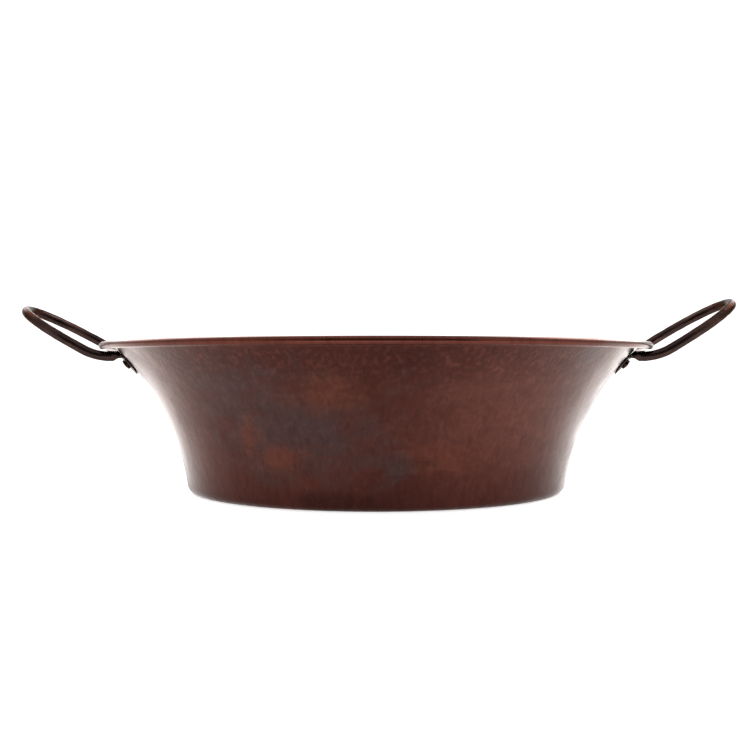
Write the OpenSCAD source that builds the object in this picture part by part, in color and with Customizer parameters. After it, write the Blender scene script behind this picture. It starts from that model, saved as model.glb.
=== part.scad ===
// Hammered copper bowl: one raised sheet shell whose lip is rolled round a steel wire,
// and two loop handles of round rod whose feet are forged into flat pads and riveted on.
// Millimetres, +Z up, origin in the middle of the flat base.
// The handles lie along X, and the front is -Y.

/* [Bowl] */
// Diameter across the rolled rim
rim_d = 406; // [330:1:520]
// Height from the base to the top of the lip
bowl_h = 109; // [88:1:160]
// Diameter of the flat base
base_d = 268; // [215:1:330]
// Thickness of the copper sheet
sheet = 1; // [0.6:0.1:2]
// Outer radius of the turn from base to wall
corner_r = 6.5; // [4:0.5:15]
// Radius of the outward sweep of the wall
flare_r = 181; // [150:1:400]
// Outer radius of the turn from wall to lip
lip_r = 5.5; // [3:0.5:12]
// Width of the flat part of the lip
lip_flat = 3.5; // [1:0.5:15]

/* [Rim] */
// Diameter of the steel wire in the rim
wire_d = 3.2; // [2:0.1:6]
// Angle that the sheet is rolled round the wire
roll_angle = 250; // [200:5:265]
// Clearance between the wire and the roll
wire_gap = 0.04; // [0.02:0.01:0.2]

/* [Handles] */
// Diameter of the handle rod
rod_d = 6.8; // [5:0.2:10]
// Distance between the two legs of a handle, centre to centre
leg_gap = 99; // [70:1:130]
// How far the left handle stands out past the rim
reach_left = 61.5; // [55:0.5:100]
// How far the right handle stands out past the rim
reach_right = 65.5; // [55:0.5:100]
// Slope of the left handle above level, in degrees
slope_left = 29.5; // [15:0.5:45]
// Slope of the right handle above level, in degrees
slope_right = 32; // [15:0.5:45]
// Radius of the bend where a leg turns from level to the slope
leg_bend_r = 42; // [20:1:60]
// Where that bend starts, inwards from the middle of the bead
bend_inset = 6; // [0:0.5:8]
// Gap between the bead and the leg under it
rim_gap = 1.4; // [0.8:0.1:5]

/* [Feet] */
// Thickness of the pad
pad_t = 1.8; // [1:0.1:4]
// Width of the pad at its rivet
pad_w = 19; // [14:0.5:30]
// Length of the pad above the leg
pad_up = 6.5; // [5:0.5:8]
// Length of the pad below its rivet
pad_tail = 10.5; // [7:0.5:20]
// Thickness of the neck where the leg meets the pad
neck_t = 2.4; // [1.5:0.1:4]
// Width of the neck where the leg meets the pad
neck_w = 9; // [7:0.5:14]
// Length over which the rod is drawn down to the neck
neck_len = 8; // [5:1:20]
// Clearance where pads, heads and burrs seat on the sheet
seat_gap = 0.07; // [0.05:0.01:0.2]

/* [Rivets] */
// Distance of the rivet below the leg, along the wall
rivet_drop = 5.6; // [5:0.2:10]
// Diameter of the shank
shank_d = 4; // [3:0.5:6]
// Clearance of the shank in its holes, on the radius
shank_gap = 0.05; // [0.02:0.01:0.3]
// Diameter of the outer head
head_d = 7.4; // [6:0.1:11]
// Height of the outer head
head_h = 1.9; // [1:0.1:4]
// Diameter of the burr, the washer under the inner head
burr_d = 10; // [8:0.5:14]
// Thickness of the burr
burr_t = 1; // [0.6:0.1:2]
// Diameter of the peened inner head
peen_d = 6.6; // [5.5:0.1:9]
// Height of the peened inner head
peen_h = 1.5; // [0.8:0.1:3]

/* [Hidden] */
$fn = 96;

copper = "#7a4436";
iron = "#2b2320";
steel = "#8c8f92";

// Radial profile: points are [radius, height]
wire_r = wire_d / 2;
bore_r = wire_r + wire_gap;
bead_r = bore_r + sheet;
bead_c = [rim_d / 2 - bead_r, bowl_h - bead_r];
corner_c = [base_d / 2, corner_r];
lip_c = [bead_c.x - lip_flat, bowl_h - sheet - lip_r];
flare_c = circles_meet(corner_c, corner_r + flare_r, lip_c, flare_r - lip_r);
flare_low = angle_of(corner_c - flare_c);
flare_high = angle_of(lip_c - flare_c);
roll_end = 90 - roll_angle;

// Where the legs and rivets land on the wall
rod_r = rod_d / 2;
level_z = bead_c.y - bead_r - rim_gap - rod_r;
land_angle = 180 - asin((level_z - flare_c.y) / flare_r);
land_r = flare_c.x + flare_r * cos(land_angle);
leg_y = leg_gap / 2;
foot_azimuth = asin(leg_y / land_r);
rivet_angle = land_angle + arc_degrees(rivet_drop);
leg_shift = land_r * (1 - cos(foot_azimuth));

// Centre line of a leg: level under the rim, then a bend up to the slope of the handle
bead_x = sqrt(pow(bead_c.x, 2) - pow(leg_y, 2));
bend_x = bead_x - bend_inset;
bend_c = [bend_x, level_z + leg_bend_r];
neck_x = land_r - leg_shift - 3 * seat_gap / cos(land_angle) - neck_t / 2 * tan(land_angle);
ring_points = 28;

function angle_of(v) = atan2(v.y, v.x);
function arc_degrees(length) = length / flare_r * 180 / PI;
function mix(a, b, t) = a + (b - a) * t;
function ease(t) = let (s = max(0, min(1, t))) s * s * (3 - 2 * s);
function clip(v) = max(-1, min(1, v));

// The meeting point of two circles that lies right of the line from p to q
function circles_meet(p, p_r, q, q_r) =
    let (
        d = norm(q - p),
        u = (q - p) / d,
        along = (d * d + p_r * p_r - q_r * q_r) / (2 * d),
        off = sqrt(p_r * p_r - along * along)
    )
    p + u * along + [u.y, -u.x] * off;

// Points along an arc, both ends included
function arc(c, r, from, to, steps) =
    [for (i = [0:steps]) c + r * [cos(mix(from, to, i / steps)), sin(mix(from, to, i / steps))]];

// One face of the sheet from the base to the lip, off by a depth into the bowl
function sheet_line(depth) = concat(
    arc(corner_c, corner_r - depth, -90, flare_low - 180, 8),
    arc(flare_c, flare_r + depth, flare_low - 0.5, flare_high + 0.5, 28),
    arc(lip_c, lip_r + depth, flare_high, 90, 6)
);

function reversed(list) = [for (i = [len(list) - 1:-1:0]) list[i]];

// Outline of the whole sheet, with its roll
function shell_outline() = concat(
    [[0, 0]],
    sheet_line(0),
    arc(bead_c, bore_r, 90, roll_end, 20),
    arc(bead_c, bead_r, roll_end, 90, 20),
    reversed(sheet_line(sheet)),
    [[0, sheet]]
);

// A ring of the rod: it turns from round to flat as flatness goes from 0 to 1
function ring_local(half_t, half_w, flatness) =
    let (k = mix(1, 1.35, flatness))
    [for (i = [0:ring_points - 1])
        let (b = 360 * i / ring_points)
        [half_t * clip(k * cos(b)), half_w * clip(k * sin(b))]];

// Places a ring on a leg: near the wall the ring bends round the axis of the bowl
function leg_ring(centre, slope, half_t, half_w, flatness, side) =
    [for (p = ring_local(half_t, half_w, flatness))
        let (
            x = centre.x - p.x * sin(slope),
            z = centre.y + p.x * cos(slope),
            straight = [x, side * (leg_y - p.y), z],
            r = x + leg_shift,
            a = side * (foot_azimuth - p.y / r * 180 / PI),
            wrapped = [r * cos(a), r * sin(a), z]
        )
        mix(straight, wrapped, flatness)];

// Rings from the pad out to the start of the bend, along the level stretch
function neck_rings(side) =
    [for (i = [0:10])
        let (
            x = mix(neck_x, bend_x, i / 10),
            t = ease((x - neck_x - pad_t) / neck_len)
        )
        leg_ring([x, level_z], 0, mix(neck_t / 2, rod_r, t), mix(neck_w / 2, rod_r, t), 1 - t, side)];

function bend_point(slope) = bend_c + leg_bend_r * [sin(slope), -cos(slope)];

function bend_rings(side, slope) =
    [for (i = [1:6])
        let (
            a = slope * i / 6,
            c = bend_point(a),
            t = ease((c.x - neck_x - pad_t) / neck_len)
        )
        leg_ring(c, a, mix(neck_t / 2, rod_r, t), mix(neck_w / 2, rod_r, t), 1 - t, side)];

// Rings round the end of the loop, from one leg to the other
function loop_rings(slope, reach) =
    let (
        rise = bend_point(slope),
        x = rim_d / 2 + reach - rod_r - leg_y * cos(slope),
        z = rise.y + (x - rise.x) * tan(slope),
        up = [-sin(slope), 0, cos(slope)]
    )
    [for (i = [0:32])
        let (a = mix(-90, 90, i / 32), out = [cos(a) * cos(slope), sin(a), cos(a) * sin(slope)])
        [for (p = ring_local(rod_r, rod_r, 0)) [x, 0, z] + out * (leg_y - p.y) + up * p.x]];

function handle_rings(slope, reach) = concat(
    neck_rings(-1),
    bend_rings(-1, slope),
    loop_rings(slope, reach),
    reversed(bend_rings(1, slope)),
    reversed(neck_rings(1))
);

module swept(rings) {
    n = ring_points;
    last = len(rings) - 1;
    points = [for (ring = rings) each ring];
    walls = [for (i = [0:last - 1]) for (j = [0:n - 1])
        let (k = (j + 1) % n)
        each [[i * n + j, i * n + k, (i + 1) * n + k], [i * n + j, (i + 1) * n + k, (i + 1) * n + j]]];
    first_cap = [[for (j = [n - 1:-1:0]) j]];
    last_cap = [[for (j = [0:n - 1]) last * n + j]];
    polyhedron(points, concat(walls, first_cap, last_cap), convexity = 6);
}

// Puts its children on the wall at a rivet of the right handle: +Z out of the wall, +X down it
module at_rivet(side) {
    rotate([0, 0, side * foot_azimuth])
        translate([flare_c.x + flare_r * cos(rivet_angle), 0, flare_c.y + flare_r * sin(rivet_angle)])
            rotate([0, 270 - rivet_angle, 0])
                children();
}

module rivet_bore(side) {
    at_rivet(side)
        translate([0, 0, -2 * sheet - burr_t])
            cylinder(r = shank_d / 2 + shank_gap, h = 4 * sheet + 2 * burr_t + 2 * pad_t);
}

module left_and_right() {
    children();
    mirror([1, 0, 0]) children();
}

// Leaf outline of a pad, with the rivet at its origin
module pad_outline() {
    top = rivet_drop + pad_up;
    hull() {
        circle(d = pad_w, $fn = 40);
        translate([3 - top, 0]) circle(r = 3, $fn = 32);
        translate([pad_tail - 2, 0]) circle(r = 2, $fn = 32);
    }
}

// A pad is a leaf cut from a shell that follows the wall
module pad(side) {
    spread = arc_degrees(rivet_drop + pad_up + pad_tail);
    intersection() {
        rotate([0, 0, side * foot_azimuth - 15])
            rotate_extrude(angle = 30)
                polygon(concat(
                    arc(flare_c, flare_r - seat_gap, rivet_angle - spread, rivet_angle + spread, 20),
                    arc(flare_c, flare_r - seat_gap - pad_t, rivet_angle + spread, rivet_angle - spread, 20)
                ));
        at_rivet(side)
            translate([0, 0, -10])
                linear_extrude(24) pad_outline();
    }
}

module handle(slope, reach) {
    color(iron)
        difference() {
            union() {
                swept(handle_rings(slope, reach));
                pad(-1);
                pad(1);
            }
            rivet_bore(-1);
            rivet_bore(1);
        }
}

module bowl() {
    color(copper)
        difference() {
            rotate_extrude($fn = 180) polygon(shell_outline());
            left_and_right() {
                rivet_bore(-1);
                rivet_bore(1);
            }
        }
}

module rim_wire() {
    color(steel)
        rotate_extrude($fn = 180)
            translate(bead_c) circle(r = wire_r, $fn = 32);
}

// A button head standing on z = 0, with an upright edge under its dome
module button_head(d, h) {
    edge = h / 3;
    rise = h - edge;
    dome_r = (rise * rise + d * d / 4) / (2 * rise);
    rim_angle = acos(d / 2 / dome_r);
    rotate_extrude($fn = 48)
        polygon(concat([[0, 0], [d / 2, 0]], arc([0, h - dome_r], dome_r, rim_angle, 90, 8)));
}

module rivet(side) {
    out = pad_t + 2 * seat_gap;
    inside = sheet + burr_t + 3 * seat_gap;
    color(iron)
        at_rivet(side) {
            translate([0, 0, -inside]) cylinder(d = shank_d, h = inside + out, $fn = 48);
            translate([0, 0, out]) button_head(head_d, head_h);
            translate([0, 0, -inside]) mirror([0, 0, 1]) button_head(peen_d, peen_h);
        }
}

module burr(side) {
    color(iron)
        at_rivet(side)
            translate([0, 0, -sheet - burr_t - 2 * seat_gap])
                difference() {
                    cylinder(d = burr_d, h = burr_t, $fn = 48);
                    translate([0, 0, -burr_t])
                        cylinder(r = shank_d / 2 + shank_gap, h = 3 * burr_t, $fn = 48);
                }
}

bowl();
rim_wire();
mirror([1, 0, 0]) handle(slope_left, reach_left);  // handle_left
handle(slope_right, reach_right);  // handle_right
mirror([1, 0, 0]) rivet(-1);  // rivet_left_front
mirror([1, 0, 0]) rivet(1);  // rivet_left_back
rivet(-1);  // rivet_right_front
rivet(1);  // rivet_right_back
mirror([1, 0, 0]) burr(-1);  // burr_left_front
mirror([1, 0, 0]) burr(1);  // burr_left_back
burr(-1);  // burr_right_front
burr(1);  // burr_right_back
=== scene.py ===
"""A hammered copper bowl with a rolled rim and two riveted loop handles, as a Blender add-on."""

import math
from contextlib import contextmanager

import bmesh
import bpy
import numpy as np
from bpy.props import FloatProperty, FloatVectorProperty, IntProperty, PointerProperty
from mathutils import Matrix, Vector


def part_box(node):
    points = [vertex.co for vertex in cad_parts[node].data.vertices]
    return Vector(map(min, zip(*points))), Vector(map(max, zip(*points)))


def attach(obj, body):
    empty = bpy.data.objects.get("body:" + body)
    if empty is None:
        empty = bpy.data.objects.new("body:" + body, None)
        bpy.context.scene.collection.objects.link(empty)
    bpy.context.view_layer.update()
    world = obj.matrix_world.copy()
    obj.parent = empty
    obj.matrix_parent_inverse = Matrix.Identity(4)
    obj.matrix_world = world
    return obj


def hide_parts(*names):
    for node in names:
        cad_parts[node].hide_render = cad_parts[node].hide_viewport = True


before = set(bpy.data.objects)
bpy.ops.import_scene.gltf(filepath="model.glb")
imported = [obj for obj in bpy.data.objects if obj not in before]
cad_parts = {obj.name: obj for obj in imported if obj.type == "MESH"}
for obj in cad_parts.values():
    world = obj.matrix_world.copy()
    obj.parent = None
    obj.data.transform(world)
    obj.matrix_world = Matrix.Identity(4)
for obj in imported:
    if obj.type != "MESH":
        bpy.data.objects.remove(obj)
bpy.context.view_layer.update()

bl_info = {
    "name": "Hammered Copper Bowl",
    "version": (1, 0, 0),
    "blender": (4, 5, 0),
    "location": "View3D > Sidebar > Copper Bowl",
    "description": "Models a planished copper bowl with a wired rim and forged loop handles",
    "category": "Add Mesh",
}

MM = 0.001
BODY = "root"
SIDES = {"left": -1, "right": 1}
ENDS = {"front": -1, "back": 1}
RIM_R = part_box("bowl")[1].x
BOWL_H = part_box("bowl")[1].z
OUTER_STEPS, INNER_STEPS = 58, 40  # along the wall's two faces
FLOOR_RINGS = 19
BORE_STEPS, ROLL_STEPS = 12, 13  # round the roll's bore and its outside
RING_POINTS = 24  # round a handle's rod
TURN_STEPS = 40  # round a rivet or a burr


# ---------------------------------------------------------------- sizes and colours

def length(label, mm, note):
    return FloatProperty(name=label, description=note, default=mm * MM, unit="LENGTH", precision=4)


def colour(label, rgb, note):
    return FloatVectorProperty(
        name=label, description=note, default=rgb, size=3, subtype="COLOR", min=0, max=1
    )


class BowlSizes(bpy.types.PropertyGroup):
    """The copper shell"""

    base_r: length("Base radius", 134, "Radius of the flat base")
    sheet: length("Sheet", 1.0, "Thickness of the copper sheet")
    corner_r: length("Corner radius", 6.5, "Outer radius of the turn from base to wall")
    flare_r: length("Flare radius", 181, "Radius of the outward sweep of the wall")
    lip_r: length("Lip turn", 5.5, "Outer radius of the turn from wall to lip")
    lip_flat: length("Lip width", 3.5, "Width of the flat part of the lip")
    bore_r: length("Roll bore", 1.64, "Inner radius of the roll, round its wire")
    roll: FloatProperty(
        name="Roll", description="Angle that the edge is rolled round the wire",
        default=math.radians(250), subtype="ANGLE",
    )
    round_steps: IntProperty(name="Steps", description="Steps round the bowl", default=600, min=48)
    mark_pitch: length("Mark spacing", 6.0, "Distance between planishing marks")
    mark_depth: length("Mark depth", 0.10, "Depth of the deepest planishing mark")


class HandleSizes(bpy.types.PropertyGroup):
    """The forged loop handles"""

    rod_r: length("Rod radius", 3.4, "Radius of the handle rod")
    leg_y: length("Leg offset", 49.5, "Distance of each leg from the middle of the loop")
    rim_gap: length("Rim gap", 1.4, "Gap between the rolled rim and the leg under it")
    bend_r: length("Bend radius", 42, "Radius of the bend from level to the slope")
    bend_inset: length("Bend inset", 6, "Start of that bend, inwards from the bead")
    slope_left: FloatProperty(
        name="Left slope", description="Slope of the left handle",
        default=math.radians(29.5), subtype="ANGLE",
    )
    slope_right: FloatProperty(
        name="Right slope", description="Slope of the right handle",
        default=math.radians(32), subtype="ANGLE",
    )
    neck_t: length("Neck thickness", 2.4, "Thickness of the leg where it meets the pad")
    neck_w: length("Neck width", 9, "Width of the leg where it meets the pad")
    neck_len: length("Neck length", 4.5, "Length over which the rod is drawn down")
    pad_t: length("Pad thickness", 1.8, "Thickness of the forged pad")
    pad_w: length("Pad width", 19, "Width of the pad at its rivet")
    pad_up: length("Pad above the leg", 6.5, "Length of the pad above the leg")
    pad_tail: length("Pad tail", 10.5, "Length of the pad below its rivet")
    seat_gap: length("Seat gap", 0.07, "Clearance between pads, heads, burrs and the sheet")
    upset: length("Upset", 0.16, "Extra radius of the rod, to make up for its smoothing")
    voxel: length("Grain", 0.62, "Size of the remeshed faces")
    dent_size: length("Dent size", 7, "Size of the forging dents")
    dent_depth: length("Dent depth", 0.32, "Depth of the forging dents")


class RivetSizes(bpy.types.PropertyGroup):
    """The rivets and their burrs"""

    drop: length("Drop", 5.6, "Distance of the rivet below the leg, along the wall")
    shank_r: length("Shank radius", 2.0, "Radius of the shank")
    head_r: length("Head radius", 3.7, "Radius of the outer head")
    head_h: length("Head height", 1.9, "Height of the outer head")
    peen_r: length("Peened radius", 3.3, "Radius of the inner, peened head")
    peen_h: length("Peened height", 1.5, "Height of the inner, peened head")
    burr_r: length("Burr radius", 5.0, "Radius of the burr under the peened head")
    burr_t: length("Burr thickness", 1.0, "Thickness of the burr")
    shank_gap: length("Shank gap", 0.05, "Clearance round the shank")


class FinishColours(bpy.types.PropertyGroup):
    """The colours of the finishes"""

    copper: colour("Patina", (0.063, 0.0178, 0.0130), "Red-brown patina over the copper")
    # deep also paints shade along the bottom of the front, through PATCHES
    deep: colour("Deep patina", (0.036, 0.0092, 0.0068), "Darker red-brown of the patina")
    # painted sheen: a paler red-brown laid over the right of the front
    painted_sheen: colour("Rubbed", (0.082, 0.0275, 0.0215), "Paler red-brown where the patina is rubbed")
    ember: colour("Ember", (0.092, 0.0270, 0.0165), "Orange patches of the patina")
    slate: colour("Slate", (0.046, 0.0285, 0.0270), "Blue-grey clouds of the patina")
    iron: colour("Iron", (0.024, 0.0150, 0.0138), "Oiled forge scale of the handles")
    brown: colour("Browned iron", (0.046, 0.0245, 0.0195), "Patches where the scale is rubbed brown")
    steel: colour("Steel", (0.42, 0.42, 0.41), "Drawn steel wire")
    oxide: colour("Oxide", (0.2, 0.17, 0.15), "Grey film on the wire")


# ---------------------------------------------------------------- outlines

def vec(angle):
    return np.array([math.cos(angle), math.sin(angle)])


def arc(centre, radius, start, end, steps):
    """Points along an arc of the radial profile, both ends included."""
    return [np.array(centre) + radius * vec(start + (end - start) * i / steps) for i in range(steps + 1)]


def circles_meet(p, p_r, q, q_r):
    """The meeting point of two circles that lies right of the line from p to q."""
    d = np.linalg.norm(q - p)
    u = (q - p) / d
    along = (d * d + p_r * p_r - q_r * q_r) / (2 * d)
    return p + u * along + np.array([u[1], -u[0]]) * math.sqrt(p_r * p_r - along * along)


class Profile:
    """The radial profile of the bowl, worked out from its sizes and the frame's box."""

    def __init__(self, s):
        self.s = s
        self.bead_r = s.bore_r + s.sheet
        self.bead = np.array([RIM_R - self.bead_r, BOWL_H - self.bead_r])
        self.corner = np.array([s.base_r, s.corner_r])
        self.lip = np.array([self.bead[0] - s.lip_flat, BOWL_H - s.sheet - s.lip_r])
        self.flare = circles_meet(self.corner, s.corner_r + s.flare_r, self.lip, s.flare_r - s.lip_r)
        self.low = math.atan2(*(self.corner - self.flare)[::-1])
        self.high = math.atan2(*(self.lip - self.flare)[::-1])

    def wall(self, depth, steps):
        return arc(self.flare, self.s.flare_r + depth, self.low, self.high, steps)

    def outline(self):
        """The whole closed sheet, from the middle of the base out, round the roll and back in."""
        s, quarter = self.s, math.pi / 2
        inner_low = self.low - math.pi
        roll_end = quarter - s.roll
        base = [np.array([s.base_r * f, 0]) for f in (0, 0.35, 0.7, 0.9)]
        floor = [np.array([s.base_r * f, s.sheet]) for f in np.linspace(1, 0, FLOOR_RINGS + 1)[1:]]
        return (
            base
            + arc(self.corner, s.corner_r, -quarter, inner_low, 5)
            + self.wall(0, OUTER_STEPS)[1:]
            + arc(self.lip, s.lip_r, self.high, quarter, 4)[1:]
            + arc(self.bead, s.bore_r, quarter, roll_end, BORE_STEPS)
            + arc(self.bead, self.bead_r, roll_end, quarter, ROLL_STEPS)
            + arc(self.lip, s.lip_r + s.sheet, quarter, self.high, 4)
            + self.wall(s.sheet, INNER_STEPS)[::-1][1:]
            + arc(self.corner, s.corner_r - s.sheet, inner_low, -quarter, 4)[1:]
            + floor
        )


# ---------------------------------------------------------------- modelling helpers

def only(*objs):
    """Makes these the selected objects, the first one active."""
    if bpy.context.object and bpy.context.object.mode != "OBJECT":
        bpy.ops.object.mode_set(mode="OBJECT")
    bpy.ops.object.select_all(action="DESELECT")
    for obj in objs:
        obj.select_set(True)
    bpy.context.view_layer.objects.active = objs[0]


@contextmanager
def editing(obj):
    """Edit mode on one object, with all of it selected."""
    only(obj)
    bpy.ops.object.mode_set(mode="EDIT")
    bpy.ops.mesh.select_all(action="SELECT")
    yield
    bpy.ops.object.mode_set(mode="OBJECT")


def started(name, primitive, **sizes):
    """A new primitive with nothing else selected, renamed."""
    bpy.ops.object.select_all(action="DESELECT")
    primitive(**sizes)
    piece = bpy.context.object
    piece.name = piece.data.name = name
    return piece


def tidied():
    """Merges doubles and turns all faces outwards, in edit mode."""
    bpy.ops.mesh.select_all(action="SELECT")
    bpy.ops.mesh.remove_doubles(threshold=0.002 * MM)
    bpy.ops.mesh.normals_make_consistent(inside=False)


def spun(name, outline, steps):
    """A solid of revolution: one vertex is extruded along the outline, which is spun about Z."""
    piece = started(name, bpy.ops.mesh.primitive_plane_add, size=MM)
    with editing(piece):
        bpy.ops.mesh.merge(type="CENTER")
        here = np.zeros(2)
        for i, point in enumerate(outline):
            move = {"value": (point[0] - here[0], 0, point[1] - here[1])}
            if i == 0:
                bpy.ops.transform.translate(**move)
            else:
                bpy.ops.mesh.extrude_vertices_move(TRANSFORM_OT_translate=move)
            here = point
        bpy.ops.mesh.select_all(action="SELECT")
        bpy.ops.mesh.spin(steps=steps, angle=2 * math.pi, center=(0, 0, 0), axis=(0, 0, 1))
        tidied()
    return piece


def coords(obj):
    """The places of an object's vertices, one row each."""
    out = np.empty(len(obj.data.vertices) * 3)
    obj.data.vertices.foreach_get("co", out)
    return out.reshape(-1, 3)


def place(obj, points):
    """Moves an object's vertices to these places."""
    obj.data.vertices.foreach_set("co", np.asarray(points).ravel())
    obj.data.update()


def modify(obj, kind, **settings):
    """Adds a modifier and applies it."""
    only(obj)
    mod = obj.modifiers.new(kind.title(), kind)
    for key, value in settings.items():
        setattr(mod, key, value)
    bpy.ops.object.modifier_apply(modifier=mod.name)


def smooth(obj, degrees):
    """Shades an object smooth, but for edges sharper than this."""
    only(obj)
    bpy.ops.object.shade_smooth_by_angle(angle=math.radians(degrees))


def finish_piece(obj, slot, node):
    """Gives a piece its slot's material, its body and the node that it replaces."""
    obj.data.materials.clear()
    obj.data.materials.append(finish(slot))
    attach(obj, BODY)
    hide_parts(node)


# ---------------------------------------------------------------- planishing marks

def hashed(a, b, seed):
    """A repeatable number from 0 to 1 for each pair of whole numbers."""
    mixed = (a * 73856093) ^ (b * 19349663) ^ (seed * 83492791)
    mixed = (mixed ^ (mixed >> 13)) * 1274126177
    return ((mixed ^ (mixed >> 16)) & 0xFFFF) / 65535.0


def marks(run, azimuth, radius, radius_at, pitch, seed):
    """How deep each point lies in the nearest marks, from 0 to 1: staggered rows of shallow round dents.

    run is the distance along the profile, and radius_at gives the bowl's radius at a distance."""
    jump = 0.85  # how far a mark may stray, as a share of the pitch
    deepest = np.zeros(len(run))
    row = np.floor(run / pitch).astype(np.int64)
    for d_row in (-1, 0, 1):
        j = row + d_row
        round_row = 2 * math.pi * radius_at((j + 0.5) * pitch)
        count = np.maximum(5, np.round(round_row / pitch)).astype(np.int64)
        stagger = hashed(j, 0, seed)
        turn = azimuth / (2 * math.pi) * count - stagger
        for d_mark in (-1, 0, 1):
            k = np.floor(turn).astype(np.int64) + d_mark
            m = k % count
            run_c = (j + 0.5 + jump * (hashed(j, m, seed + 1) - 0.5)) * pitch
            turn_c = k + 0.5 + jump * (hashed(j, m, seed + 2) - 0.5)
            across = (turn - turn_c) / count * 2 * math.pi * radius
            reach = pitch * (0.70 + 0.18 * hashed(j, m, seed + 3))
            depth = 0.45 + 0.55 * hashed(j, m, seed + 4)
            inside = depth * (1 - ((run - run_c) ** 2 + across**2) / reach**2)
            deepest = np.maximum(deepest, inside)
    return deepest


def hammered(obj, depths, deepest):
    """Presses the marks into the surface: a vertex group holds them for a Displace modifier."""
    group = obj.vertex_groups.new(name="marks")
    too_shallow = 0.004
    for i in np.flatnonzero(depths > too_shallow):
        group.add([int(i)], float(min(1, depths[i])), "REPLACE")
    modify(obj, "DISPLACE", vertex_group="marks", direction="NORMAL", mid_level=0, strength=-deepest)
    obj.vertex_groups.clear()


def ramp(value, low, high):
    t = np.clip((value - low) / (high - low), 0, 1)
    return t * t * (3 - 2 * t)


def bowl_marks(obj, profile):
    """The marks on the outside of the wall, the inside of the wall and the floor."""
    s = profile.s
    p = coords(obj)
    radius = np.hypot(p[:, 0], p[:, 1])
    azimuth = np.mod(np.arctan2(p[:, 1], p[:, 0]), 2 * math.pi)
    off = np.stack([radius, p[:, 2]], 1) - profile.flare
    reach = np.hypot(off[:, 0], off[:, 1])
    angle = np.arctan2(off[:, 1], off[:, 0])
    angle = np.where(angle < 0, angle + 2 * math.pi, angle)
    depths = np.zeros(len(p))
    slack = 0.001
    on_wall = (angle < profile.low + slack) & (angle > profile.high - slack)
    for depth, seed in ((0.0, 3), (s.sheet, 41)):
        arc_r = s.flare_r + depth
        pick = on_wall & (np.abs(reach - arc_r) < 0.1 * MM)
        run = (profile.low - angle[pick]) * arc_r
        whole = (profile.low - profile.high) * arc_r

        def radius_at(run_at, arc_r=arc_r):
            return profile.flare[0] + arc_r * np.cos(profile.low - run_at / arc_r)

        edge = 3 * MM
        fade = ramp(run, 0, edge) * ramp(whole - run, 0, edge)
        depths[pick] = fade * marks(run, azimuth[pick], radius[pick], radius_at, s.mark_pitch, seed)
    pick = (np.abs(p[:, 2] - s.sheet) < 0.05 * MM) & (radius < s.base_r + 0.1 * MM)
    fade = ramp(s.base_r - radius[pick], 0, 4 * MM)
    wide = s.mark_pitch * 1.6
    depths[pick] = fade * marks(radius[pick], azimuth[pick], radius[pick], lambda r: r, wide, 77)
    hammered(obj, depths, s.mark_depth)


# ---------------------------------------------------------------- materials

class Nodes:
    """Shorthand for a material's node tree."""

    def __init__(self, name):
        self.material = bpy.data.materials.new(name)
        self.material.use_nodes = True
        self.tree = self.material.node_tree
        self.shader = self.tree.nodes["Principled BSDF"]
        self.place = self.add("ShaderNodeTexCoord").outputs["Object"]

    def add(self, kind, inputs=None, **settings):
        node = self.tree.nodes.new(kind)
        for key, value in settings.items():
            setattr(node, key, value)
        for key, value in (inputs or {}).items():
            self.feed(value, node.inputs[key])
        return node

    def feed(self, value, socket):
        if isinstance(value, bpy.types.NodeSocket):
            self.tree.links.new(value, socket)
        elif isinstance(value, bpy.types.Node):
            self.tree.links.new(value.outputs[0], socket)
        else:
            socket.default_value = value

    def mapped(self, location=(0, 0, 0), scale=(1, 1, 1)):
        inputs = {"Vector": self.place, "Location": location, "Scale": scale}
        return self.add("ShaderNodeMapping", inputs).outputs["Vector"]

    def noise(self, scale, detail=3.0, rough=0.5, where=None, warp=0.0):
        inputs = {"Scale": scale, "Detail": detail, "Roughness": rough, "Distortion": warp}
        inputs["Vector"] = self.place if where is None else where
        return self.add("ShaderNodeTexNoise", inputs).outputs["Fac"]

    def cells(self, scale, where=None, feature="F1"):
        inputs = {"Scale": scale, "Vector": self.place if where is None else where}
        return self.add("ShaderNodeTexVoronoi", inputs, feature=feature).outputs["Distance"]

    def span(self, value, low, high, to_low=0.0, to_high=1.0):
        inputs = {"Value": value, "From Min": low, "From Max": high, "To Min": to_low, "To Max": to_high}
        return self.add("ShaderNodeMapRange", inputs, interpolation_type="SMOOTHSTEP").outputs["Result"]

    def distance(self, where):
        """How far a point is from the origin of where."""
        return self.add("ShaderNodeVectorMath", {"Vector": where}, operation="LENGTH").outputs["Value"]

    def tinted(self, tone, *rgb):
        """The tone multiplied by a colour."""
        return self.mix(1.0, tone, rgba(rgb), "MULTIPLY")

    def maths(self, operation, a, b):
        node = self.add("ShaderNodeMath", operation=operation)
        self.feed(a, node.inputs[0])
        self.feed(b, node.inputs[1])
        return node.outputs[0]

    def mix(self, factor, a, b, kind="MIX"):
        node = self.add("ShaderNodeMix", data_type="RGBA", blend_type=kind)
        for index, value in ((0, factor), (6, a), (7, b)):
            self.feed(value, node.inputs[index])
        return node.outputs[2]

    def bump(self, height, strength, distance, onto=None):
        inputs = {"Height": height, "Strength": strength, "Distance": distance}
        if onto is not None:
            inputs["Normal"] = onto
        return self.add("ShaderNodeBump", inputs).outputs["Normal"]

    def shade(self, **inputs):
        for key, value in inputs.items():
            self.feed(value, self.shader.inputs[key.replace("_", " ")])


def rgba(rgb):
    """A colour with full alpha, as colour sockets take it."""
    return (*rgb, 1.0)
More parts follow.
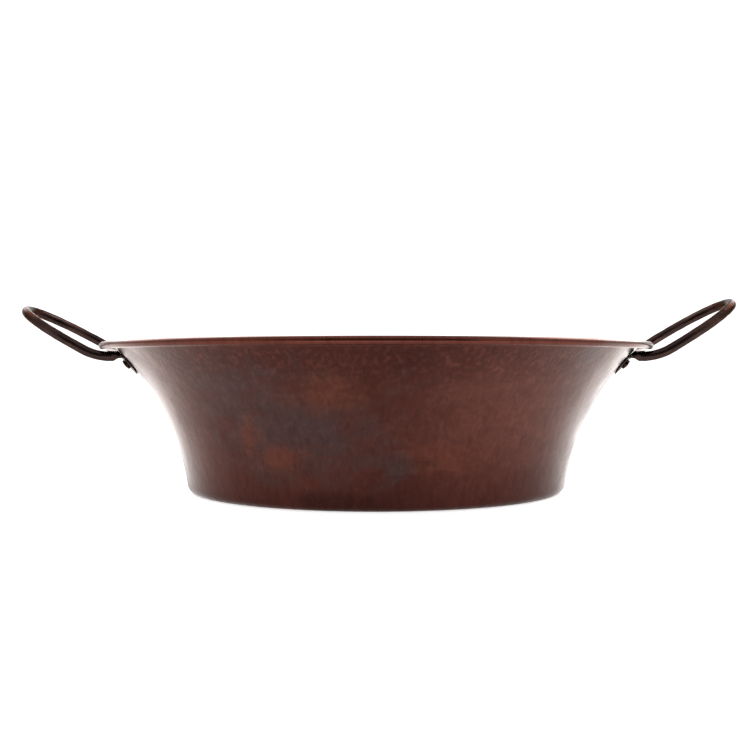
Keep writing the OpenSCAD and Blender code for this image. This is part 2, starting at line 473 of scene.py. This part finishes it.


# Patches on the front: middle and half-size in millimetres (across, depth, height),
# colour, strength and how ragged the edge is. The slate and ember patches are patina; the paler
# patch on the right is painted sheen, and the deep patch along the bottom is painted shade
PATCHES = (
    # painted sheen: the right of the front made paler
    ((70, -130, 64), (62, 80, 50), "painted_sheen", 0.85, 1.2),
    ((-52, -140, 54), (56, 70, 38), "slate", 0.75, 2.4),
    ((-92, -120, 84), (34, 60, 18), "slate", 0.5, 2.0),
    ((-29, -150, 75), (27, 60, 11), "ember", 0.75, 3.2),
    ((-58, -135, 34), (15, 60, 9), "ember", 0.8, 3.0),
    ((-80, -120, 46), (7, 60, 15), "ember", 0.6, 3.2),
    ((44, -140, 33), (24, 60, 10), "ember", 0.7, 3.0),
    ((13, -140, 30), (11, 60, 8), "slate", 0.7, 2.2),
    # painted shade: a darker band along the bottom of the front, left of the middle
    ((-22, -134, 6), (52, 60, 9), "deep", 0.9, 1.6),
)


def patina(n):
    """The copper's tone: patina clouds all round and patina patches on the front, with painted sheen
    over its right and painted shade along its bottom.
    """
    c = bpy.context.scene.bowl_finish
    tone = n.mix(n.span(n.noise(7.0, 3.0), 0.35, 0.65, 0.0, 0.55), rgba(c.copper), rgba(c.deep))
    around = n.noise(11.0, 5.0, 0.6, n.mapped((1.7, 0.2, 0.9), (1, 1, 2.2)), 0.8)
    tone = n.mix(n.span(around, 0.6, 0.8, 0.0, 0.6), tone, rgba(c.ember))
    tone = n.mix(n.span(around, 0.42, 0.25, 0.0, 0.7), tone, rgba(c.slate))
    ragged = n.noise(46.0, 6.0, 0.68, n.mapped((0.3, 0.1, 0.2), (1, 1, 1.8)), 0.3)
    ragged = n.maths("SUBTRACT", ragged, 0.5)
    for middle, half, kind, strength, torn in PATCHES:
        spot = n.add(
            "ShaderNodeMapping",
            {"Vector": n.place, "Location": [v * MM for v in middle], "Scale": [v * MM for v in half]},
            vector_type="TEXTURE",
        )
        edge = n.maths("ADD", n.distance(spot), n.maths("MULTIPLY", ragged, torn))
        tone = n.mix(n.span(edge, 1.35, 0.25, 0.0, strength), tone, rgba(getattr(c, kind)))
    return tone


def under_roll(n, height):
    """1 below the rolled rim and 0 on it."""
    return n.span(height, 104.5 * MM, 102.5 * MM)


def off_outside(n, height):
    """1 on the inside, the floor and the underside, 0 on the outside of the wall and on the roll."""
    s = bpy.context.scene.bowl_sizes
    flare = Profile(s).flare
    radius = n.distance(n.mapped(scale=(1, 1, 0)))
    across = n.maths("SUBTRACT", radius, flare[0])
    up = n.maths("SUBTRACT", height, flare[1])
    reach = n.distance(n.add("ShaderNodeCombineXYZ", {"X": across, "Y": up}))
    inner = n.span(reach, s.flare_r + 0.3 * s.sheet, s.flare_r + 0.7 * s.sheet)
    return n.maths("MULTIPLY", inner, under_roll(n, height))


def copper_finish():
    """Dark red-brown patina with orange embers and blue-grey clouds, over planished copper, with painted
    sheen on the right of the front, painted shade along its bottom and painted highlights on the crests
    under the rim.
    """
    n = Nodes("copper_patina_and_painted_light")
    height = n.add("ShaderNodeSeparateXYZ", {"Vector": n.place}).outputs["Z"]
    tone = patina(n)

    # darker grain, upright and level
    dark = n.tinted(tone, 0.60, 0.54, 0.53)
    upright = n.noise(170.0, 4.0, 0.65, n.mapped(scale=(1, 1, 0.35)))
    level = n.noise(150.0, 3.0, 0.6, n.mapped((0.7, 0, 0), (0.22, 0.22, 1)))
    grain = n.maths("MAXIMUM", n.span(upright, 0.42, 0.72), n.span(level, 0.52, 0.75, 0.0, 0.7))
    tone = n.mix(n.maths("MULTIPLY", grain, 0.6), tone, dark)

    # small planishing pits in a band under the rim: their colour is painted shade in the pits and
    # painted highlights on the paler crests between them
    near_rim = n.maths("MULTIPLY", n.span(height, 78 * MM, 98 * MM, 0.35, 1.0), under_roll(n, height))
    pitted = n.cells(430.0, n.mapped(scale=(1, 1, 0.5)), "SMOOTH_F1")
    # painted shade in the pits and painted highlights on the crests, over the bump's relief
    pit_shade_and_crest_highlights = n.mix(n.span(pitted, 0.30, 0.80), dark, n.tinted(tone, 1.32, 1.28, 1.28))
    tone = n.mix(n.maths("MULTIPLY", near_rim, 0.7), tone, pit_shade_and_crest_highlights)

    # the roll, lighter and browner
    on_roll = n.span(height, 102.8 * MM, 104.2 * MM)
    tone = n.mix(on_roll, tone, n.tinted(tone, 1.35, 1.25, 1.12))

    # relief: hammer facets inside, the pits, and a fine skin all over
    facets = n.maths("MULTIPLY", n.maths("POWER", n.cells(115.0), 2.0), off_outside(n, height))
    dented = n.bump(facets, 0.6, 0.5 * MM)
    pits = n.bump(n.maths("MULTIPLY", pitted, near_rim), 0.4, 0.25 * MM, dented)
    skin = n.bump(n.noise(520.0, 4.0, 0.65, n.mapped(scale=(1, 1, 0.5))), 0.35, 0.10 * MM, pits)
    rough = n.span(n.noise(25.0, 3.0), 0.35, 0.7, 0.20, 0.34)
    tint = rgba((0.85, 0.83, 0.81))
    n.shade(Base_Color=tone, Metallic=0.9, Roughness=rough, Normal=skin, Specular_Tint=tint)
    return n.material


def iron_finish():
    """Forge scale, waxed nearly black, with brown patches."""
    c = bpy.context.scene.bowl_finish
    n = Nodes("forged_iron")
    patch = n.noise(70.0, 4.0, 0.6)
    tone = n.mix(n.span(patch, 0.45, 0.75), rgba(c.iron), rgba(c.brown))
    rough = n.span(n.noise(150.0, 3.0), 0.3, 0.7, 0.20, 0.36)
    skin = n.bump(n.noise(420.0, 4.0, 0.6), 0.35, 0.12 * MM)
    tint = rgba((0.46, 0.44, 0.43))
    n.shade(Base_Color=tone, Metallic=1.0, Roughness=rough, Normal=skin, Specular_Tint=tint)
    return n.material


def steel_finish():
    """Plain drawn wire with a little grey oxide."""
    c = bpy.context.scene.bowl_finish
    n = Nodes("drawn_wire")
    film = n.span(n.noise(120.0, 3.0), 0.4, 0.7, 0.0, 0.5)
    tone = n.mix(film, rgba(c.steel), rgba(c.oxide))
    n.shade(Base_Color=tone, Metallic=1.0, Roughness=n.span(film, 0, 1, 0.35, 0.55))
    return n.material


FINISHES = {"copper": copper_finish, "iron": iron_finish, "steel_wire": steel_finish}


def finish(slot):
    """The material of a slot, made once."""
    made = bpy.data.materials.get(f"slot_{slot}")
    if made is None:
        made = FINISHES[slot]()
        made.name = f"slot_{slot}"
    return made


# ---------------------------------------------------------------- the pieces

def make_bowl():
    profile = Profile(bpy.context.scene.bowl_sizes)
    shell = spun("bowl_shell", profile.outline(), profile.s.round_steps)
    bowl_marks(shell, profile)
    smooth(shell, 60)
    finish_piece(shell, "copper", "bowl")


class Foot:
    """Where a handle's legs and rivets meet the wall."""

    def __init__(self, scene):
        h, r = scene.handle_sizes, scene.rivet_sizes
        p = self.profile = Profile(scene.bowl_sizes)
        self.level_z = p.bead[1] - p.bead_r - h.rim_gap - h.rod_r
        self.land = math.pi - math.asin((self.level_z - p.flare[1]) / p.s.flare_r)
        self.land_r = p.flare[0] + p.s.flare_r * math.cos(self.land)
        self.azimuth = math.asin(h.leg_y / self.land_r)
        self.rivet = self.land + r.drop / p.s.flare_r

    def on_wall(self, side, end):
        """A matrix that puts a rivet's own frame on the wall: +Z out of the wall and +X down it."""
        p = self.profile
        spot = p.flare + p.s.flare_r * vec(self.rivet)
        out = Vector((-math.cos(self.rivet), 0, -math.sin(self.rivet)))
        down = Vector((-math.sin(self.rivet), 0, math.cos(self.rivet)))
        m = Matrix((down, out.cross(down), out)).transposed().to_4x4()
        m.translation = (spot[0], 0, spot[1])
        turned = Matrix.Rotation(end * self.azimuth, 4, "Z") @ m
        return Matrix.Scale(side, 4, (1, 0, 0)) @ turned


def button(radius, height, steps):
    """Outline of a head standing on z = 0: an upright edge under a dome."""
    upright = 0.6  # the edge's share of the height
    edge = upright * height
    rise = height - edge
    dome = (rise * rise + radius * radius) / (2 * rise)
    start = math.acos(radius / dome)
    return [np.array([radius, 0])] + arc((0, height - dome), dome, start, math.pi / 2, steps)


def seated(piece, matrix):
    """Bakes a matrix into the mesh, and turns the faces out again if it was a mirror."""
    piece.data.transform(matrix)
    if matrix.determinant() < 0:
        piece.data.flip_normals()
    piece.data.update()


def copied(piece, name):
    """A copy of a piece with its own mesh."""
    only(piece)
    bpy.ops.object.duplicate(linked=False)
    twin = bpy.context.object
    twin.name = twin.data.name = name
    return twin


def blank_rivet():
    """A rivet in its own frame, z = 0 on the wall's outer face, and the height of its head's seat."""
    scene = bpy.context.scene
    r, gap = scene.rivet_sizes, scene.handle_sizes.seat_gap
    out = scene.handle_sizes.pad_t + 2 * gap
    inside = scene.bowl_sizes.sheet + r.burr_t + 3 * gap
    peen = [np.array([p[0], -inside - p[1]]) for p in button(r.peen_r, r.peen_h, 8)][::-1]
    shank = [np.array([r.shank_r, -inside]), np.array([r.shank_r, out])]
    head = [np.array([p[0], out + p[1]]) for p in button(r.head_r, r.head_h, 8)]
    return spun("rivet", peen + shank + head, TURN_STEPS), out


def struck(rivet, out, seed):
    """Wears the head's top down a little, differently for each seed."""
    head_h = bpy.context.scene.rivet_sizes.head_h
    most = 0.05
    p = coords(rivet)
    tilt = np.random.default_rng(seed).uniform(-most, most, 2)
    top = ramp(p[:, 2], out + 0.5 * head_h, out + head_h)
    p[:, 2] -= top * np.abs(p[:, 0] * tilt[0] + p[:, 1] * tilt[1])
    place(rivet, p)


def blank_burr():
    """A burr in the rivet's frame, with the edge of its inner face rounded."""
    scene = bpy.context.scene
    r, gap = scene.rivet_sizes, scene.handle_sizes.seat_gap
    top = -scene.bowl_sizes.sheet - 2 * gap
    low, bore, soft = top - r.burr_t, r.shank_r + r.shank_gap, 0.25 * MM
    outline = [(bore, top), (r.burr_r, top), (r.burr_r, low + soft)]
    outline += [tuple(p) for p in arc((r.burr_r - soft, low + soft), soft, 0, -math.pi / 2, 4)[1:]]
    outline += [(bore, low), (bore, top)]
    return spun("burr", [np.array(p) for p in outline], TURN_STEPS)


def make_rivets():
    """One rivet and one burr are modelled, and copied to each pad."""
    foot = Foot(bpy.context.scene)
    rivet, out = blank_rivet()
    burr = blank_burr()
    crease = 35
    for i, (side, x) in enumerate(SIDES.items()):
        for k, (end, y) in enumerate(ENDS.items()):
            matrix = foot.on_wall(x, y)
            riveted = copied(rivet, f"riveted_{side}_{end}")
            struck(riveted, out, seed=10 * i + k)
            washer = copied(burr, f"washer_{side}_{end}")
            for piece, node in ((riveted, "rivet"), (washer, "burr")):
                smooth(piece, crease)
                seated(piece, matrix)
                finish_piece(piece, "iron", f"{node}_{side}_{end}")
    only(rivet, burr)
    bpy.ops.object.delete()


def leg_rings(foot, slope, loop_out):
    """Rings of one leg and half of the loop, from the pad out to the middle of the loop's end.

    Each ring is (centre, up, across, half thickness, half width, wrap)."""
    h = bpy.context.scene.handle_sizes
    p = foot.profile
    shift = foot.land_r * (1 - math.cos(foot.azimuth))
    bend_x = math.sqrt(p.bead[0] ** 2 - h.leg_y**2) - h.bend_inset
    off_wall = -3 * h.seat_gap / math.cos(foot.land) - h.neck_t / 2 * math.tan(foot.land)
    neck_x = foot.land_r - shift + off_wall
    rings = []

    def along_leg(x, z, tilt):
        t = float(ramp(x - neck_x - h.pad_t, 0, h.neck_len))
        half_t = h.upset + h.neck_t / 2 + (h.rod_r - h.neck_t / 2) * t
        half_w = h.upset + h.neck_w / 2 + (h.rod_r - h.neck_w / 2) * t
        up = Vector((-math.sin(tilt), 0, math.cos(tilt)))
        rings.append((Vector((x, -h.leg_y, z)), up, Vector((0, -1, 0)), half_t, half_w, 1 - t))

    leg_steps, bend_steps, loop_steps = 12, 8, 24
    for x in np.linspace(neck_x, bend_x, leg_steps + 1):
        along_leg(float(x), foot.level_z, 0)
    for tilt in np.linspace(0, slope, bend_steps + 1)[1:]:
        x = bend_x + h.bend_r * math.sin(tilt)
        along_leg(x, foot.level_z + h.bend_r * (1 - math.cos(tilt)), tilt)
    last = rings[-1][0]
    centre_x = loop_out - h.rod_r - h.leg_y * math.cos(slope)
    centre = Vector((centre_x, 0, last.z + (centre_x - last.x) * math.tan(slope)))
    up = Vector((-math.sin(slope), 0, math.cos(slope)))
    run = Vector((math.cos(slope), 0, math.sin(slope)))
    thick = h.rod_r + h.upset
    for a in np.linspace(-math.pi / 2, 0, loop_steps + 1):
        out = run * math.cos(a) + Vector((0, math.sin(a), 0))
        rings.append((centre + out * h.leg_y, up, out, thick, thick, 0.0))
    return rings, shift


def ring_points(foot, ring, shift):
    """The points of a ring; towards the pad it flattens and bends round the axis of the bowl."""
    centre, up, across, half_t, half_w, wrap = ring
    squareness = 0.35
    k = 1 + squareness * wrap
    points = []
    for i in range(RING_POINTS):
        b = 2 * math.pi * i / RING_POINTS
        a = half_t * max(-1, min(1, k * math.cos(b)))
        w = half_w * max(-1, min(1, k * math.sin(b)))
        straight = centre + up * a + across * w
        radius = straight.x + shift
        turn = -foot.azimuth - w / radius
        wrapped = Vector((radius * math.cos(turn), radius * math.sin(turn), straight.z))
        points.append(straight.lerp(wrapped, wrap))
    return points


def lofted(name, rings):
    """A tube: a circle is extruded once for each ring, and its points are set on that ring."""
    piece = started(
        name, bpy.ops.mesh.primitive_circle_add, vertices=RING_POINTS, radius=MM, fill_type="NGON"
    )
    with editing(piece):
        bm = bmesh.from_edit_mesh(piece.data)
        ring = list(bm.verts)
        for vert, spot in zip(ring, rings[0]):
            vert.co = spot
        for spots in rings[1:]:
            before = {tuple(v.co): i for i, v in enumerate(ring)}
            bpy.ops.mesh.extrude_region_move()
            bm = bmesh.from_edit_mesh(piece.data)
            ring = sorted((v for v in bm.verts if v.select), key=lambda v: before[tuple(v.co)])
            for vert, spot in zip(ring, spots):
                vert.co = spot
        bmesh.update_edit_mesh(piece.data)
        tidied()
    return piece


def leaf(h, r):
    """Outline of a pad: a wide round about its rivet at the origin, and two small ends. +X is down."""
    wide, top, tail = h.pad_w / 2, 3 * MM, 2 * MM
    top_x, tail_x = top - r.drop - h.pad_up, h.pad_tail - tail
    up_turn = math.pi - math.acos((wide - top) / -top_x)
    down_turn = math.acos((wide - tail) / tail_x)
    half = (
        arc((tail_x, 0), tail, 0, down_turn, 4)
        + arc((0, 0), wide, down_turn, up_turn, 16)
        + arc((top_x, 0), top, up_turn, math.pi, 6)
    )
    return half + [np.array([p[0], -p[1]]) for p in half[::-1]][1:-1]


def make_pad(name, foot):
    """A pad: its leaf outline is filled, given its thickness, remeshed fine and bent onto the wall."""
    s = bpy.context.scene
    h, r = s.handle_sizes, s.rivet_sizes
    outline = leaf(h, r)
    pad = started(
        name, bpy.ops.mesh.primitive_circle_add, vertices=len(outline), radius=MM, fill_type="NGON"
    )
    place(pad, [(p[0], p[1], 0) for p in outline])
    with editing(pad):
        move = {"value": (0, 0, h.pad_t)}
        bpy.ops.mesh.extrude_region_move(TRANSFORM_OT_translate=move)
        tidied()
    soft_edge = 0.45 * MM
    modify(pad, "BEVEL", width=soft_edge, segments=2, limit_method="ANGLE")
    modify(pad, "REMESH", mode="VOXEL", voxel_size=h.voxel)
    p = coords(pad)
    wall = foot.profile
    from_rivet = np.abs(p[:, 0]) + np.abs(p[:, 1])
    thin = 1 - 0.35 * ramp(from_rivet, 4 * MM, 12 * MM)  # drawn thin towards its edge
    angle = foot.rivet + p[:, 0] / wall.s.flare_r
    reach = wall.s.flare_r - h.seat_gap - p[:, 2] * thin
    radius = wall.flare[0] + reach * np.cos(angle)
    turn = -foot.azimuth + p[:, 1] / radius
    height = wall.flare[1] + reach * np.sin(angle)
    place(pad, np.stack([radius * np.cos(turn), radius * np.sin(turn), height], 1))
    return pad


def forge_texture(name, size):
    """Soft clouds, for the dents that forging leaves."""
    texture = bpy.data.textures.new(name, "CLOUDS")
    texture.noise_scale = size
    texture.noise_depth = 1
    return texture


def make_handle(side, slope):
    """A handle: half a loop and its pad are joined and mirrored, then forging blends and dents them."""
    foot = Foot(bpy.context.scene)
    h = bpy.context.scene.handle_sizes
    low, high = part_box(f"handle_{side}")
    reach = max(abs(low.x), abs(high.x)) - h.upset
    rings, shift = leg_rings(foot, slope, reach)
    rod = lofted(f"loop_{side}", [ring_points(foot, ring, shift) for ring in rings])
    pad = make_pad(f"pad_{side}", foot)
    only(rod, pad)
    bpy.ops.object.join()
    modify(rod, "MIRROR", use_axis=(False, True, False), use_clip=True, merge_threshold=0.01 * MM)
    modify(rod, "REMESH", mode="VOXEL", voxel_size=h.voxel)
    modify(rod, "SMOOTH", factor=0.5, iterations=2)
    dents = {"texture": forge_texture(f"forging_{side}", h.dent_size), "texture_coords": "LOCAL"}
    modify(rod, "DISPLACE", mid_level=0.72, strength=h.dent_depth, **dents)
    smooth(rod, 60)
    if SIDES[side] < 0:
        seated(rod, Matrix.Scale(-1, 4, (1, 0, 0)))
    finish_piece(rod, "iron", f"handle_{side}")


def make_wire():
    """The frame's own wire keeps its mesh and gets a finish."""
    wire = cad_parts["rim_wire"]
    wire.data.materials.clear()
    wire.data.materials.append(finish("steel_wire"))


# ---------------------------------------------------------------- the stage

def soft_light(name, location, target, size, power):
    bpy.ops.object.light_add(type="AREA", location=location)
    lamp = bpy.context.object
    lamp.name = name
    lamp.data.shape = "RECTANGLE"
    lamp.data.size, lamp.data.size_y = size
    lamp.data.energy = power
    way = Vector(target) - Vector(location)
    lamp.rotation_euler = way.to_track_quat("-Z", "Y").to_euler()


def plain(name, rgb, rough, glow=0.0):
    n = Nodes(name)
    white = rgba((1, 1, 1))
    n.shade(Base_Color=rgba(rgb), Roughness=rough, Emission_Color=white, Emission_Strength=glow)
    return n.material


def make_floor():
    """A round of white paper that glows a little, so that it fades into the room."""
    floor = started(
        "studio_floor", bpy.ops.mesh.primitive_circle_add, vertices=96, radius=6, fill_type="NGON"
    )
    under_base = 0.02 * MM
    place(floor, coords(floor) - np.array([0, 0, under_base]))
    floor.data.materials.append(plain("white_paper", (0.92, 0.92, 0.92), 0.75, glow=0.55))


def make_flags():
    """Two black flags before the bowl, under and behind the lens, which only reflections see."""
    black = plain("black_flag", (0.05, 0.05, 0.05), 0.8)
    for name, location, tilt, size in (
        ("flag_upright", (0, -1.05, 0.45), 90, (1.5, 1.1)),
        ("flag_flat", (0, -0.84, 0.01), 0, (1.5, 0.5)),
    ):
        turn = (math.radians(tilt), 0, 0)
        flag = started(name, bpy.ops.mesh.primitive_plane_add, size=1, location=location, rotation=turn)
        flag.scale = (*size, 1)
        flag.visible_camera = flag.visible_diffuse = flag.visible_shadow = False
        flag.data.materials.append(black)


def make_world():
    world = bpy.data.worlds.new("white_room")
    bpy.context.scene.world = world
    world.use_nodes = True
    background = world.node_tree.nodes["Background"]
    background.inputs["Color"].default_value = (1, 1, 1, 1)
    background.inputs["Strength"].default_value = 1.4


def make_camera():
    """The camera looks level across the front of the bowl from just under its rim."""
    from_upright = math.radians(89.54)
    bpy.ops.object.camera_add(location=(0.94 * MM, -803.2 * MM, 90 * MM), rotation=(from_upright, 0, 0))
    camera = bpy.context.object
    camera.data.lens = 50.7
    camera.data.sensor_width = 36
    camera.data.clip_start = 0.01
    bpy.context.scene.camera = camera


def make_stage():
    make_camera()
    make_floor()
    make_flags()
    make_world()
    middle = (0, 0, 0.1)
    soft_light("left_rear", (-0.80, 1.57, 1.48), middle, (1.1, 1.7), 24)
    soft_light("right_rear", (1.17, 1.39, 1.42), middle, (1.0, 1.6), 22)
    soft_light("left_soft", (-0.95, 0.65, 0.9), (-0.35, 0.3, 0), (0.8, 0.8), 8)
    soft_light("right_soft", (0.95, 0.65, 0.9), (0.35, 0.3, 0), (0.8, 0.8), 12)
    bpy.context.scene.view_settings.view_transform = "Standard"


# ---------------------------------------------------------------- operators and panel

class MESH_OT_copper_shell(bpy.types.Operator):
    """Model the copper shell with its rolled rim and planishing marks"""

    bl_idname = "mesh.copper_shell"
    bl_label = "Copper Shell"

    def execute(self, context):
        make_bowl()
        make_wire()
        return {"FINISHED"}


class MESH_OT_loop_handles(bpy.types.Operator):
    """Forge the two loop handles with their pads"""

    bl_idname = "mesh.loop_handles"
    bl_label = "Loop Handles"

    def execute(self, context):
        sizes = context.scene.handle_sizes
        make_handle("left", sizes.slope_left)
        make_handle("right", sizes.slope_right)
        return {"FINISHED"}


class MESH_OT_handle_rivets(bpy.types.Operator):
    """Set the rivets and their burrs"""

    bl_idname = "mesh.handle_rivets"
    bl_label = "Rivets and Burrs"

    def execute(self, context):
        make_rivets()
        return {"FINISHED"}


class SCENE_OT_bowl_stage(bpy.types.Operator):
    """Set the floor, the lights and the camera"""

    bl_idname = "scene.bowl_stage"
    bl_label = "Stage"

    def execute(self, context):
        make_stage()
        return {"FINISHED"}


class VIEW3D_PT_copper_bowl(bpy.types.Panel):
    """Lists the bowl's operators"""

    bl_label = "Copper Bowl"
    bl_space_type = "VIEW_3D"
    bl_region_type = "UI"
    bl_category = "Copper Bowl"

    def draw(self, context):
        for operator in OPERATORS:
            self.layout.operator(operator.bl_idname)


OPERATORS = (MESH_OT_copper_shell, MESH_OT_loop_handles, MESH_OT_handle_rivets, SCENE_OT_bowl_stage)
GROUPS = {
    "bowl_sizes": BowlSizes,
    "handle_sizes": HandleSizes,
    "rivet_sizes": RivetSizes,
    "bowl_finish": FinishColours,
}


def register():
    for cls in (*GROUPS.values(), *OPERATORS, VIEW3D_PT_copper_bowl):
        bpy.utils.register_class(cls)
    for name, group in GROUPS.items():
        setattr(bpy.types.Scene, name, PointerProperty(type=group))


def unregister():
    for name in GROUPS:
        delattr(bpy.types.Scene, name)
    for cls in (VIEW3D_PT_copper_bowl, *OPERATORS, *GROUPS.values()):
        bpy.utils.unregister_class(cls)


def main():
    register()
    bpy.ops.scene.bowl_stage()
    bpy.ops.mesh.copper_shell()
    bpy.ops.mesh.loop_handles()
    bpy.ops.mesh.handle_rivets()


if __name__ == "__main__":
    main()
